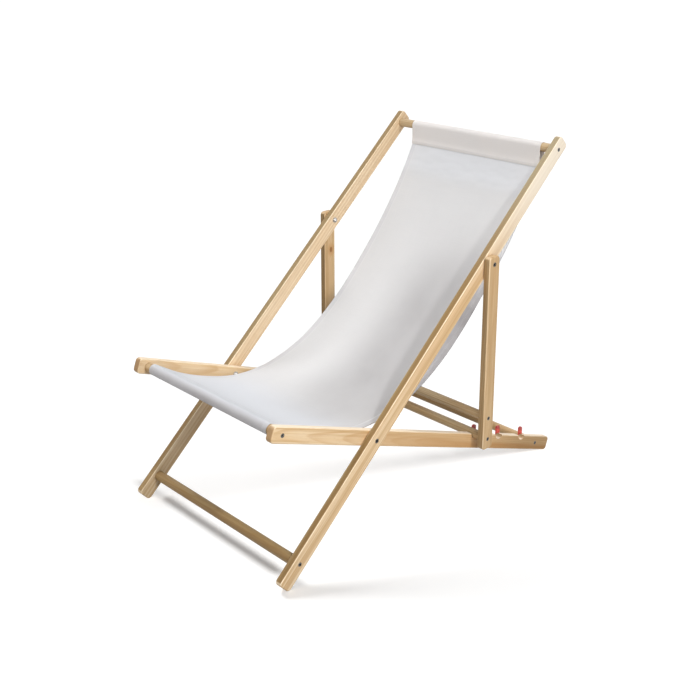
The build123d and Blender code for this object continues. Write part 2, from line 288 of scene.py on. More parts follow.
def pine(name, origin, tilt, turn=0.0, *, pith, lean, ring, seed, tan=0.0, shade=0.0,
         narrow_shade=0.95, pale_top=0.0, end_shade=0.3, streaks=0.8, heart=None, lit_stretch=None,
         dim=None, knot=None, arris_highlight=1.0, rail=True):
    """Planed pine. The grain runs along the member's own second axis, which the tilt and turn give.

    The pith is the middle of the growth rings, across the member from its axis, the lean is how
    far it drifts for each metre along, and the ring is the width of a year's growth. Tan and
    streaks are shares of darker wood. Shade is a share of painted shade on the dowels and of
    darker wood on the prop legs, and narrow_shade is a share of painted shade on a rail's narrow
    faces. pale_top is a share of painted light, which takes the place of that painted shade on a
    rail's narrow faces, and the arris share is a patchy painted highlight on its arrises.

    The rest are places along the member. The heart is where its lower half starts to be warmer
    and is warmest. The lit stretch is where painted light starts, is strongest and ends, and its
    share. Dim is where painted shade starts and is darkest, and the share of that painted shade.
    The knot's second number is its place across the member.
    """
    finish = Finish(name)
    place = finish.own_axes("Object", tilt, turn, origin)
    thick, along, deep = finish.split(place)
    moved = finish.add("VectorMath", {0: place, 1: (seed, seed * 1.7, -seed)}, operation="ADD")

    # Growth rings round the pith, which wanders a little along the member
    wander = finish.math("SUBTRACT", finish.pattern(moved, WANDER_REPEATS), 0.5)
    off_thick = finish.total(thick, -pith[0], finish.product(along, lean[0]))
    off_deep = finish.total(deep, -pith[1], finish.product(along, lean[1]))
    radius = finish.math("SQRT", finish.total(finish.product(off_thick, off_thick),
                                              finish.product(off_deep, off_deep)))
    radius = finish.total(radius, finish.product(wander, RING_WANDER))
    if knot:
        knot_along = finish.total(along, -knot[0])
        knot_deep = finish.total(deep, -knot[1])
        reach = finish.math("SQRT", finish.total(finish.product(knot_along, knot_along, 0.35),
                                                 finish.product(knot_deep, knot_deep)))
        swirl = finish.ease(reach, KNOT_RADIUS * KNOT_SWIRL, 0.0, 0.0, ring * 1.8)
        radius = finish.total(radius, swirl)
    phase = finish.math("FRACT", finish.product(radius, 1.0 / ring))
    late = finish.product(finish.ease(phase, 0.30, 0.86), finish.ease(phase, 1.0, 0.88))
    strength = finish.pattern(moved, LATE_REPEATS, detail=1.0)
    late = finish.product(late, finish.ease(strength, 0.25, 0.75, 0.25, 1.0))

    # Broad streaks, fibres, short resin flecks and slow changes of tone
    streak = finish.ease(finish.pattern(moved, STREAK_REPEATS, roughness=0.6), 0.45, 0.60)
    fibre = finish.pattern(moved, FIBRE_REPEATS, detail=3.0, roughness=0.6)
    fleck = finish.ease(finish.pattern(moved, FLECK_REPEATS, detail=1.0), 0.66, 0.78)
    tone = finish.pattern(moved, TONE_REPEATS)

    colour = finish.mix(finish.ease(tone, 0.28, 0.72), PALE_PINE, HONEY_PINE)
    if tan:
        colour = finish.mix(tan, colour, TAN_PINE)
    colour = finish.mix(finish.product(streak, streaks), colour, STREAK)
    if heart:
        band = finish.ease(along, heart[0], heart[1])
        low = finish.ease(finish.total(deep, finish.product(wander, 0.05)), 0.004, -0.008)
        colour = finish.mix(finish.product(band, 0.75), colour, TAN_PINE)
        colour = finish.mix(finish.product(band, low, 0.95), colour, HEART_WOOD)
    colour = finish.mix(finish.product(late, LATE_SHARE), colour, LATE_WOOD)
    colour = finish.mix(finish.ease(fibre, 0.35, 0.75, 0.0, FIBRE_SHARE), colour, LATE_WOOD)
    colour = finish.mix(finish.product(fleck, FLECK_SHARE), colour, END_GRAIN)
    # Painted light over a stretch along the member, in paler pine
    if lit_stretch:
        start, most, end, share = lit_stretch
        lit_mask = finish.product(finish.ease(along, start, most, 0.0, share),
                               finish.ease(along, end, most))
        colour = finish.mix(lit_mask, colour, LIT_PINE)

    # Painted shade and light, darker end grain, and a painted highlight on a rail's arrises
    _, end_facing, narrow_facing = finish.split(finish.own_axes("Normal", tilt, turn))
    # Painted shade on the dowels, darker wood on the prop legs
    if shade:
        colour = finish.mix(shade, colour, SHADE_AND_DARK_TONE, "MULTIPLY")
    if rail:
        edge = finish.math("ABSOLUTE", narrow_facing)
        narrow = finish.ease(edge, 0.72, 0.97)
    # Painted shade over a stretch along the member, on a rail's wide faces only
    if dim:
        start, most, share = dim
        dark = finish.ease(along, start, most, 0.0, share)
        if rail:
            dark = finish.product(dark, finish.math("SUBTRACT", 1.0, narrow))
        colour = finish.mix(dark, colour, SHADE_AND_DARK_TONE, "MULTIPLY")
    # Painted light on the seat rails' narrow faces, painted shade on the other rails' narrow faces
    if rail:
        if pale_top:
            colour = finish.mix(finish.product(narrow, pale_top), colour, LIT_PINE)
        else:
            colour = finish.mix(finish.product(narrow, narrow_shade), colour, SHADE_AND_DARK_TONE, "MULTIPLY")
        # A patchy painted highlight on the rounded arrises
        highlight_patches = finish.pattern(moved, HIGHLIGHT_PATCH_REPEATS, detail=3.0)
        highlight_patches = finish.ease(highlight_patches, 0.3, 0.7, 0.25 * arris_highlight, 0.7 * arris_highlight)
        arris = finish.product(finish.ease(edge, 0.12, 0.45), finish.ease(edge, 0.97, 0.75), highlight_patches)
        colour = finish.mix(arris, colour, ARRIS_HIGHLIGHT)
    end = finish.ease(finish.math("ABSOLUTE", end_facing), 0.35, 0.9)
    colour = finish.mix(finish.product(end, end_shade), colour, END_GRAIN)
    if knot:
        core = finish.ease(reach, KNOT_RADIUS, KNOT_RADIUS * 0.55)
        halo = finish.ease(reach, KNOT_RADIUS * 2.6, KNOT_RADIUS * 0.9)
        colour = finish.mix(finish.product(halo, 0.55), colour, HEART_WOOD)
        colour = finish.mix(finish.product(core, 0.85), colour, KNOT)

    height = finish.total(finish.product(late, 0.5), fibre, finish.product(fleck, -0.6))
    return finish.surface({
        "Base Color": colour,
        "Roughness": finish.ease(fibre, 0.2, 0.8, 0.46, 0.60),
        "Specular IOR Level": 0.24,
        "Normal": finish.bump(height, PINE_BUMP),
    })


CANVAS = (0.895, 0.89, 0.89, 1.0)
CANVAS_SHADE = (0.82, 0.82, 0.83, 1.0)
CANVAS_HEM_SHADE = (0.70, 0.705, 0.76, 1.0)
CANVAS_RIDGE_HIGHLIGHT = (0.96, 0.96, 0.965, 1.0)
CANVAS_TOP_SLEEVE_LIGHT = (0.985, 0.94, 0.91, 1.0)
CANVAS_FRONT_SLEEVE_SHADE = (0.50, 0.475, 0.475, 1.0)
CANVAS_UNDER_SHADE = (0.64, 0.63, 0.64, 1.0)
CANVAS_UNDER_SHADE_MOTTLE = (0.73, 0.725, 0.735, 1.0)
CANVAS_BELLY_SHADE = (0.505, 0.495, 0.50, 1.0)
CANVAS_RAIL_SHADOW = (0.42, 0.40, 0.41, 1.0)
CANVAS_BLUE = (0.905, 0.935, 0.99, 1.0)
CANVAS_GLOW = (0.90, 0.89, 0.885, 1.0)
CANVAS_TRANSLUCENCY = 0.22
SEAT_BLUE_SHARE = 0.9
BAND_BLUE_SHARE = 0.5
HEM_SHADE_SHARE = 0.15
RIDGE_HIGHLIGHT_SHARE = 0.7
RIDGE_WIDTH = 0.002
WRINKLED = 0.11
CREASE_BUMP = 0.006
WEAVE_BUMP = 0.00012

# How often the canvas's patterns repeat in a metre across the cloth and along it
SLUB_WARP_REPEATS = (850.0, 16.0, 1.0)
SLUB_WEFT_REPEATS = (16.0, 850.0, 1.0)
CLOTH_TONE_REPEATS = (7.0, 5.0, 1.0)
MOTTLE_REPEATS = (55.0, 40.0, 1.0)
WRINKLE_REPEATS = (9.0, 15.0, 1.0)


def canvas(name, front_seam_at, fold_at, top_seam_at, under=False):
    """Plain-woven cotton canvas, by the cloth's own width and length in metres.

    Across is 0 at the left edge, and along is 0 at the loose end of the front sleeve. The places
    of the seams and of the fold at the seat pivot are lengths along the cloth.
    """
    finish = Finish(name)
    place = finish.coordinates("UV")
    across, along, _ = finish.split(place)
    warp = finish.math("SINE", finish.product(across, math.pi / WEAVE_PITCH))
    weft = finish.math("SINE", finish.product(along, math.pi / WEAVE_PITCH))
    weave = finish.product(warp, weft)
    slub = finish.total(finish.pattern(place, SLUB_WARP_REPEATS),
                        finish.pattern(place, SLUB_WEFT_REPEATS))
    tone = finish.pattern(place, CLOTH_TONE_REPEATS, detail=3.0)
    patchy = finish.ease(tone, 0.3, 0.7, 0.75, 1.0)
    colour = finish.mix(finish.ease(slub, 0.75, 1.3, 0.0, 0.5), CANVAS, CANVAS_SHADE)
    colour = finish.mix(finish.ease(tone, 0.35, 0.75, 0.0, 0.35), colour, CANVAS_SHADE)
    colour = finish.mix(finish.ease(weave, -1.0, 1.0, 0.22, 0.0), colour, CANVAS_SHADE)

    # Painted light: a lighter, blue-tinted seat and band below the top sleeve; painted shade on the
    # right side
    seat = finish.ease(along, fold_at + 0.06, fold_at - 0.10, 0.0, SEAT_BLUE_SHARE)
    below_band = finish.product(finish.ease(along, top_seam_at - WRINKLED, top_seam_at - WRINKLED / 2),
                                finish.ease(along, top_seam_at + CLOTH, top_seam_at - CLOTH))
    painted_light = finish.math("MAXIMUM", seat, finish.product(below_band, BAND_BLUE_SHARE))
    colour = finish.mix(painted_light, colour, CANVAS_BLUE)
    # Painted shade over the right side of the belly, patchy
    belly_shade = finish.product(finish.ease(across, SLING_HALF_WIDTH * 0.45, SLING_HALF_WIDTH * 1.35),
                            finish.ease(along, fold_at - 0.16, fold_at + 0.16),
                            finish.ease(along, fold_at + 0.72, fold_at + 0.40))
    colour = finish.mix(finish.product(belly_shade, patchy), colour, CANVAS_BELLY_SHADE)

    # Sleeves doubled over the dowels: the top one in painted light, the front one in painted shade
    # under its dowel
    dowel_top = front_seam_at - SLEEVE_DEPTH
    under_dowel_shade = finish.ease(along, dowel_top - 0.003, dowel_top - 0.028)
    front_sleeve = finish.ease(along, front_seam_at + CLOTH, front_seam_at - CLOTH)
    top_sleeve = finish.ease(along, top_seam_at - CLOTH, top_seam_at + CLOTH)
    colour = finish.mix(finish.product(under_dowel_shade, patchy), colour, CANVAS_FRONT_SLEEVE_SHADE)
    colour = finish.mix(finish.product(top_sleeve, patchy), colour, CANVAS_TOP_SLEEVE_LIGHT)

    # The underside is painted a mottled grey shade in place of all that
    mottle = finish.pattern(place, MOTTLE_REPEATS, detail=3.0)
    if under:
        colour = finish.mix(finish.ease(mottle, 0.42, 0.62), CANVAS_UNDER_SHADE, CANVAS_UNDER_SHADE_MOTTLE)

    # Side hems in grey painted shade, with a painted highlight on their inner ridge, all off the
    # sleeves
    open_cloth = finish.math("SUBTRACT", 1.0, finish.math("MAXIMUM", front_sleeve, top_sleeve))
    from_far_edge = finish.math("SUBTRACT", 2 * SLING_HALF_WIDTH, across)
    from_edge = finish.math("MINIMUM", across, from_far_edge)
    hem = finish.ease(from_edge, SIDE_HEM + CLOTH, SIDE_HEM - CLOTH)
    colour = finish.mix(finish.product(hem, open_cloth, HEM_SHADE_SHARE), colour, CANVAS_HEM_SHADE)
    ridge = finish.product(finish.ease(from_edge, SIDE_HEM - RIDGE_WIDTH, SIDE_HEM),
                           finish.ease(from_edge, SIDE_HEM + RIDGE_WIDTH, SIDE_HEM))
    colour = finish.mix(finish.product(ridge, open_cloth, RIDGE_HIGHLIGHT_SHARE), colour, CANVAS_RIDGE_HIGHLIGHT)
    # Painted shadow of the right rail, mottled, along the cloth's right edge
    rail_shadow_mask = finish.product(finish.ease(across, SLING_HALF_WIDTH * 1.78, SLING_HALF_WIDTH * 1.88),
                           finish.ease(along, fold_at + 0.05, fold_at + 0.20),
                           finish.ease(along, fold_at + 0.60, fold_at + 0.45))
    rail_shadow = finish.product(rail_shadow_mask, finish.ease(mottle, 0.4, 0.6, 0.7, 0.9))
    colour = finish.mix(rail_shadow, colour, CANVAS_RAIL_SHADOW)

    wrinkle = finish.pattern(place, WRINKLE_REPEATS)
    creases = finish.bump(finish.product(wrinkle, finish.total(below_band, 0.25)), CREASE_BUMP)
    height = finish.total(weave, finish.product(slub, 1.6))
    bump = finish.bump(height, WEAVE_BUMP, creases)
    material = finish.surface({
        "Base Color": colour,
        "Roughness": finish.ease(slub, 0.7, 1.3, 0.78, 0.92),
        "Specular IOR Level": 0.2,
        "Sheen Weight": 0.12,
        "Normal": bump,
    })
    glow = finish.add("BsdfTranslucent", {"Color": CANVAS_GLOW, "Normal": bump})
    both = finish.add("MixShader", {0: CANVAS_TRANSLUCENCY, 1: finish.shader.outputs[0], 2: glow})
    finish.put(finish.tree.nodes["Material Output"].inputs["Surface"], both)
    return material


PALE_THREAD = (0.90, 0.90, 0.90, 1.0)
GREY_THREAD = (0.74, 0.74, 0.76, 1.0)


def thread():
    """Twisted cotton sewing thread."""
    finish = Finish("sewing_thread")
    place = finish.coordinates("Object")
    twist = finish.noise(place, scale=2600.0, detail=1.0)
    colour = finish.mix(twist, PALE_THREAD, GREY_THREAD)
    return finish.surface({
        "Base Color": colour,
        "Roughness": finish.ease(twist, 0.2, 0.8, 0.55, 0.75),
        "Normal": finish.bump(twist, 0.0001),
    })


BRIGHT_ZINC = (0.60, 0.595, 0.585, 1.0)
DULL_ZINC = (0.40, 0.395, 0.39, 1.0)
WORN_ZINC = (0.30, 0.295, 0.285, 1.0)
DARK_ZINC = (0.06, 0.058, 0.055, 1.0)
SOCKET_SHADE = (0.012, 0.010, 0.008, 1.0)
SOCKET_SUNK = 0.0006
BRUSHED_REPEATS = (200.0, 2400.0, 2400.0)


def zinc(name, face):
    """Darkened zinc-plated steel. Below the outer face of the heads, the sockets are painted black
    shade.
    """
    finish = Finish(name)
    place = finish.coordinates("Object")
    outward = finish.math("ABSOLUTE", finish.split(place)[0])
    spangle = finish.noise(place, scale=420.0, detail=3.0)
    brushed = finish.pattern(place, BRUSHED_REPEATS)
    colour = finish.mix(finish.ease(spangle, 0.3, 0.6), WORN_ZINC, DARK_ZINC)
    # Painted shade: black, and not metal, in the sockets below the heads' outer face
    sunk_shade = finish.ease(outward, face - SOCKET_SUNK * 0.4, face - SOCKET_SUNK)
    colour = finish.mix(sunk_shade, colour, SOCKET_SHADE)
    return finish.surface({
        "Base Color": colour,
        "Metallic": finish.ease(sunk_shade, 0.0, 1.0, 1.0, 0.0),
        "Roughness": finish.ease(brushed, 0.25, 0.75, 0.26, 0.44),
        "Normal": finish.bump(brushed, 0.00003),
    })


def dull_steel():
    """Plated nuts and washers on the inner faces."""
    finish = Finish("plated_nuts")
    place = finish.coordinates("Object")
    spangle = finish.noise(place, scale=380.0, detail=3.0)
    colour = finish.mix(finish.ease(spangle, 0.3, 0.7), BRIGHT_ZINC, DULL_ZINC)
    return finish.surface({
        "Base Color": colour,
        "Metallic": 1.0,
        "Roughness": finish.ease(spangle, 0.25, 0.75, 0.24, 0.40),
        "Normal": finish.bump(spangle, 0.00004),
    })


RED = (0.75, 0.10, 0.06, 1.0)
WORN_RED = (0.60, 0.05, 0.045, 1.0)
TAB_TIP = (0.34, 0.05, 0.05, 1.0)
TAB_TOP = 0.032
TIP_LENGTH = 0.0035
TIP_RAGGED = 0.003


def red_plastic(origin, tilt):
    """Moulded red plastic, darker at the upper tips, which stand TAB_TOP above the origin."""
    finish = Finish("red_plastic_tabs")
    place = finish.own_axes("Object", tilt, origin=origin)
    height = finish.split(place)[2]
    mottle = finish.noise(place, scale=260.0, detail=3.0)
    scuff = finish.noise(place, scale=900.0, detail=2.0)
    colour = finish.mix(finish.ease(mottle, 0.3, 0.7), RED, WORN_RED)
    ragged = finish.total(height, finish.product(mottle, TIP_RAGGED))
    tip = finish.ease(ragged, TAB_TOP - TIP_LENGTH, TAB_TOP)
    colour = finish.mix(finish.product(tip, 0.7), colour, TAB_TIP)
    return finish.surface({
        "Base Color": colour,
        "Roughness": finish.ease(scuff, 0.3, 0.7, 0.38, 0.55),
        "Normal": finish.bump(scuff, 0.00005),
    })


def dress(node, material):
    """Gives a CAD node its finish."""
    for slot in frame["nodes"][node].material_slots:
        slot.material = material


def slope(start, end):
    """Angle of a member in the side view."""
    return math.atan2(end[2] - start[2], end[1] - start[1])


# The three frames' members, with the way each one's growth rings lie
frames = {
    "long_rail": (seat_pivot, slope(seat_pivot, prop_pivot)),
    "seat_rail": (seat_pivot, slope(seat_pivot, centre("seat_rear_bar"))),
    "prop_leg": (prop_pivot, slope(prop_pivot, centre("prop_lower_bar"))),
}
# Each rail's grain, with its stretches of painted light and painted shade and its painted highlights
rail_grain = {
    "long_rail_right": dict(pith=(0.006, -0.075), lean=(0.004, 0.012), ring=0.0105, seed=1.3,
                            tan=0.05, lit_stretch=(0.40, 0.80, 2.0, 0.72)),
    "long_rail_left": dict(pith=(-0.010, 0.085), lean=(0.0, -0.016), ring=0.0095, seed=4.1,
                           streaks=0.5, lit_stretch=(-0.04, 0.08, 9.0, 0.12), dim=(-0.22, -0.38, 0.45)),
    "seat_rail_right": dict(pith=(0.034, -0.004), lean=(0.05, 0.01), ring=0.0048, seed=7.7,
                            heart=(-0.20, 0.50), pale_top=0.55, end_shade=0.85, dim=(0.40, 0.65, 0.5)),
    "seat_rail_left": dict(pith=(-0.045, 0.006), lean=(0.05, 0.0), ring=0.0055, seed=11.9,
                           pale_top=0.4, end_shade=0.95, streaks=0.3),
    "prop_leg_right": dict(pith=(0.055, 0.012), lean=(0.035, 0.01), ring=0.006, seed=15.2,
                           tan=0.4, shade=0.22, narrow_shade=0.72, arris_highlight=0.35),
    "prop_leg_left": dict(pith=(0.012, -0.07), lean=(0.0, 0.02), ring=0.006, seed=19.4,
                          tan=0.4, shade=0.2, knot=(0.09, 0.004), arris_highlight=0.35),
}
for name, grain in rail_grain.items():
    start, tilt = frames[name.rsplit("_", 1)[0]]
    origin = (centre(name).x, start.y, start.z)
    dress(name, pine("pine_" + name, origin, tilt, **grain))

# Each dowel's grain; its shade is painted shade, darkest on the foot stretcher
dowel_grain = {
    "top_dowel": dict(pith=(0.004, 0.012), lean=(0.0, 0.03), ring=0.0038, seed=23.0, shade=0.6),
    "foot_stretcher": dict(pith=(0.002, -0.015), lean=(0.0, 0.025), ring=0.0035, seed=27.5, shade=0.95),
    "seat_front_dowel": dict(pith=(0.0, 0.02), lean=(0.02, 0.0), ring=0.0040, seed=31.1, shade=0.5),
    "seat_rear_bar": dict(pith=(0.006, 0.010), lean=(0.0, 0.02), ring=0.0036, seed=36.4, shade=0.3,
                          dim=(-0.16, -0.04, 0.8)),
    "prop_upper_bar": dict(pith=(-0.004, 0.014), lean=(0.015, 0.0), ring=0.0042, seed=41.8, shade=0.6),
    "prop_lower_bar": dict(pith=(0.0, -0.012), lean=(0.02, 0.01), ring=0.0037, seed=47.2, shade=0.65),
}
for name, grain in dowel_grain.items():
    dress(name, pine("pine_" + name, centre(name), 0.0, math.pi / 2, rail=False, **grain))

nuts = dull_steel()
for name in frame["nodes"]:
    low_corner, high_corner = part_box(name)
    if "_nut_" in name or name.endswith("washers") or name == "stop_tab_screws":
        dress(name, nuts)
    elif name.endswith("screws") or "_bolt_" in name:
        dress(name, zinc("zinc_" + name, max(high_corner[0], -low_corner[0])))

seat_origin, seat_tilt = frames["seat_rail"]
tabs = red_plastic(seat_origin, seat_tilt)
for name in ("stop_tabs_right", "stop_tabs_left"):
    dress(name, tabs)


# The sling's line in the side view

def turned(vector):
    """A vector in the side view turned a quarter turn to the left."""
    return Vector((-vector.y, vector.x))


sleeve_inner = dowel_radius + SLEEVE_CLEARANCE
sleeve_outer = sleeve_inner + SLING_SPACE
sleeve_middle = (sleeve_inner + sleeve_outer) / 2
seam_at = SLEEVE_DEPTH * (1 + sleeve_outer / sleeve_inner) / 2
face = SLING_SPACE / 2


def hang(front, back, low, halvings=80):
    """Scale and lowest place of cloth that hangs through two points down to a low height."""
    span = back.x - front.x
    small, large = span * 1e-3, span * 1e3
    for _ in range(halvings):
        scale = (small + large) / 2
        front_reach = scale * math.acosh(1 + (front.y - low) / scale)
        back_reach = scale * math.acosh(1 + (back.y - low) / scale)
        if front_reach + back_reach < span:
            small = scale
        else:
            large = scale
    return scale, front.x + front_reach


def heading_at(run, scale, towards):
    """Direction of the hanging line at a run from its lowest place."""
    return Vector((scale, run)).normalized() * towards


low = front_axis.y - SLING_DIP
front_seam, back_seam = front_axis, top_axis
for _ in range(6):
    scale, lowest = hang(front_seam, back_seam, low)
    front_run = -math.sqrt((scale + front_seam.y - low) ** 2 - scale ** 2)
    back_run = math.sqrt((scale + back_seam.y - low) ** 2 - scale ** 2)
    front_heading = heading_at(front_run, scale, 1)
    back_heading = heading_at(back_run, scale, -1)
    front_seam = front_axis + front_heading * seam_at + turned(front_heading) * sleeve_middle
    back_seam = top_axis + back_heading * seam_at + turned(back_heading) * sleeve_middle
fold_run = scale * math.sinh((seat_pivot.y - lowest) / scale)


def even(start, end, step):
    """Evenly spaced values from start to end, both included."""
    count = max(1, math.ceil(abs(end - start) / step))
    return [start + (end - start) * index / count for index in range(count + 1)]


def eased(start, end, step):
    """Values from start to end that lie close together at both ends."""
    count = max(2, math.ceil(abs(end - start) * math.pi / 2 / step))
    shares = [0.5 - 0.5 * math.cos(math.pi * index / count) for index in range(count + 1)]
    return [start + (end - start) * share for share in shares]


def bulge(value, start, end):
    """A smooth bulge between two ends, 1 in the middle and 0 at both."""
    share = min(1.0, max(0.0, (value - start) / (end - start)))
    return math.sin(math.pi * share) ** 2


class Row:
    """One row across the cloth: its middle and normal in the side view, and how its edges lift."""

    def __init__(self, middle, normal, lift=0.0, hemmed=False, doubled=False):
        self.middle = middle
        self.normal = normal
        self.lift = lift
        self.hemmed = hemmed
        self.doubled = doubled
        self.length = 0.0


def hanging_row(run):
    """A row of the hanging cloth, at a run from its lowest place."""
    normal = turned(heading_at(run, scale, 1))
    middle = Vector((lowest + scale * math.asinh(run / scale), low + math.hypot(scale, run) - scale))
    if run > fold_run:
        lift = EDGE_LIFT_BACK * bulge(run, fold_run, back_run)
    else:
        lift = EDGE_LIFT_SEAT * bulge(run, front_run, fold_run)
    hemmed = front_run + LOOSE_HEM < run < back_run - LOOSE_HEM
    return Row(middle + normal * face, normal, lift, hemmed)


def sleeve_rows(axis, heading, outward, loose_gap):
    """Rows from a seam to the dowel, round it and back to the seam along the loose ply."""
    side = turned(heading)
    radius = sleeve_middle + outward * face
    rows = []
    for at in even(seam_at, 0.0, ROW_STEP):
        rows.append(Row(axis + heading * at + side * radius, side * outward))
    end = Vector((seam_at + SEAM_ALLOWANCE, sleeve_middle - loose_gap))
    last = 2 * math.pi + math.atan2(end.y, end.x) - math.acos(radius / end.length)
    for angle in even(math.pi / 2, last, WRAP_STEP)[1:]:
        direction = heading * math.cos(angle) + side * math.sin(angle)
        rows.append(Row(axis + direction * radius, direction * outward))
    leave = rows[-1].middle
    loose_end = axis + heading * end.x + side * end.y
    loose_length = (loose_end - leave).length
    hem_start = loose_length - LOOSE_HEM
    places = even(0.0, hem_start - CLOTH, ROW_STEP)[1:] + even(hem_start, loose_length, LOOSE_ROW_STEP)
    for place in places:
        doubled = place > hem_start - CLOTH / 2
        rows.append(Row(leave.lerp(loose_end, place / loose_length), rows[-1].normal, doubled=doubled))
    return rows


front_rows = sleeve_rows(front_axis, front_heading, 1, face + CLOTH / 2 - FRONT_PLY_PRESS)[::-1]
seat_rows = [hanging_row(run) for run in eased(front_run, fold_run, ROW_STEP)]
back_rows = [hanging_row(run) for run in eased(fold_run, back_run, ROW_STEP)]
top_rows = sleeve_rows(top_axis, back_heading, -1, face + TOP_PLY_GAP)

cloth_rows = {
    "seat": front_rows + seat_rows[1:],
    "back": back_rows,
    "top": top_rows,
}
travelled = 0.0
for rows in cloth_rows.values():
    rows[0].length = travelled
    for before, row in zip(rows, rows[1:]):
        row.length = before.length + (row.middle - before.middle).length
    travelled = rows[-1].length


# The sling's pieces

def cloth_columns():
    """Places across the cloth, close together at the hems."""
    stitch_line = [SIDE_STITCH + step * GROOVE_WIDTH for step in GROOVE_COLUMNS]
    near_edge = [*EDGE_COLUMNS, *stitch_line, SIDE_HEM, SIDE_HEM + CLOTH, INNER_COLUMN]
    right = [SLING_HALF_WIDTH - inset for inset in near_edge]
    middle = even(right[-1], -right[-1], COLUMN_STEP)[1:-1]
    return right + middle + [-place for place in reversed(right)]


def slide(length):
    """How far the cloth has slid to the right at a length along it, most at the top sleeve."""
    start = (back_rows[0].length + back_rows[-1].length) / 2
    share = min(1.0, max(0.0, (length - start) / (back_rows[-1].length - start)))
    return SLEEVE_SLIDE * share * share * (3 - 2 * share)


def cloth_point(row, across):
    """A point of the cloth's sitting side."""
    inset = SLING_HALF_WIDTH - abs(across)
    groove = GROOVE_DEPTH * math.exp(-((inset - SIDE_STITCH) / GROOVE_WIDTH) ** 2)
    spot = Vector((across * RIPPLES_ACROSS, row.length * RIPPLES_ALONG, RIPPLE_SEED))
    ripple = RIPPLE * noise.noise(spot) * min(1.0, row.lift / RIPPLE_FULL_LIFT)
    rise = row.lift * (abs(across) / SLING_HALF_WIDTH) ** 2 - groove + ripple
    place = row.middle + row.normal * rise
    return Vector((across + slide(row.length), place.x, place.y))


def make_piece(name, vertices, faces, material):
    """A smooth piece of the scene from its vertices and faces, in a material slot."""
    mesh = bpy.data.meshes.new(name)
    mesh.from_pydata(vertices, [], faces)
    for polygon in mesh.polygons:
        polygon.use_smooth = True
    mesh.materials.append(material)
    piece = bpy.data.objects.new(name, mesh)
    bpy.context.collection.objects.link(piece)
    return piece


def cloth_piece(name, rows, material, underside=None):
    """A stretch of the sling: its sitting side as a grid, thickened away from the sitter."""
    columns = cloth_columns()
    width = len(columns)
    vertices = [cloth_point(row, across) for row in rows for across in columns]
    faces = []
    for row in range(len(rows) - 1):
        for column in range(width - 1):
            corner = row * width + column
            faces.append((corner, corner + width, corner + width + 1, corner + 1))
    piece = make_piece(name, vertices, faces, material)
    layer = piece.data.uv_layers.new(name="cloth")
    for loop in piece.data.loops:
        row, column = divmod(loop.vertex_index, width)
        layer.data[loop.index].uv = (columns[column] + SLING_HALF_WIDTH, rows[row].length)
    doubled = piece.vertex_groups.new(name="doubled")
    for index, row in enumerate(rows):
        for column, across in enumerate(columns):
            in_side_hem = row.hemmed and SLING_HALF_WIDTH - abs(across) < SIDE_HEM + CLOTH / 2
            if in_side_hem or row.doubled:
                doubled.add([index * width + column], 1.0, "REPLACE")
    thicken = piece.modifiers.new("thickness", "SOLIDIFY")
    thicken.thickness = 2 * CLOTH
    thicken.offset = -1.0
    thicken.vertex_group = "doubled"
    thicken.thickness_vertex_group = 0.5
    if underside:
        piece.data.materials.append(underside)
        thicken.material_offset = 1
    return piece


def row_at(rows, length):
    """The row at a length along the cloth, between the two rows beside it."""
    for before, after in zip(rows, rows[1:]):
        if before.length <= length <= after.length:
            share = (length - before.length) / max(after.length - before.length, 1e-9)
            middle = before.middle.lerp(after.middle, share)
            normal = before.normal.lerp(after.normal, share).normalized()
            row = Row(middle, normal, before.lift + (after.lift - before.lift) * share)
            row.hemmed = before.hemmed
            row.doubled = before.doubled
            row.length = length
            return row
    return rows[-1]


def thread_point(rows, length, across, under):
    """A point on the cloth where a thread runs, and the direction away from the cloth there."""
    row = row_at(rows, length)
    point = cloth_point(row, across)
    away = Vector((0.0, row.normal.x, row.normal.y))
    if under:
        depth = 2 * CLOTH if row.hemmed or row.doubled else CLOTH
        point = point - away * depth
        away = -away
    return point, away


def add_stitch(vertices, faces, start, end, away):
    """One stitch: a short thread that dips into the cloth at both ends."""
    direction = (end - start).normalized()
    across = direction.cross(away).normalized()
    # Each ring's share of the length, and its girth and rise as shares of the thread's radius
    rings = (
        (0.0, 0.45, -0.9),
        (0.15, 0.85, 0.0),
        (0.5, 1.0, 0.45),
        (0.85, 0.85, 0.0),
        (1.0, 0.45, -0.9),
    )
    base = len(vertices)
    for share, girth, rise in rings:
        middle = start.lerp(end, share) + away * THREAD_RADIUS * rise
        for side in range(THREAD_SIDES):
            turn = 2 * math.pi * side / THREAD_SIDES
            spoke = across * math.cos(turn) + away * math.sin(turn)
            vertices.append(middle + spoke * THREAD_RADIUS * girth)
    for ring in range(len(rings) - 1):
        for side in range(THREAD_SIDES):
            here = base + ring * THREAD_SIDES
            following = (side + 1) % THREAD_SIDES
            faces.append((here + side, here + following,
                          here + THREAD_SIDES + following, here + THREAD_SIDES + side))
    faces.append(tuple(base + side for side in reversed(range(THREAD_SIDES))))
    last = base + (len(rings) - 1) * THREAD_SIDES
    faces.append(tuple(last + side for side in range(THREAD_SIDES)))


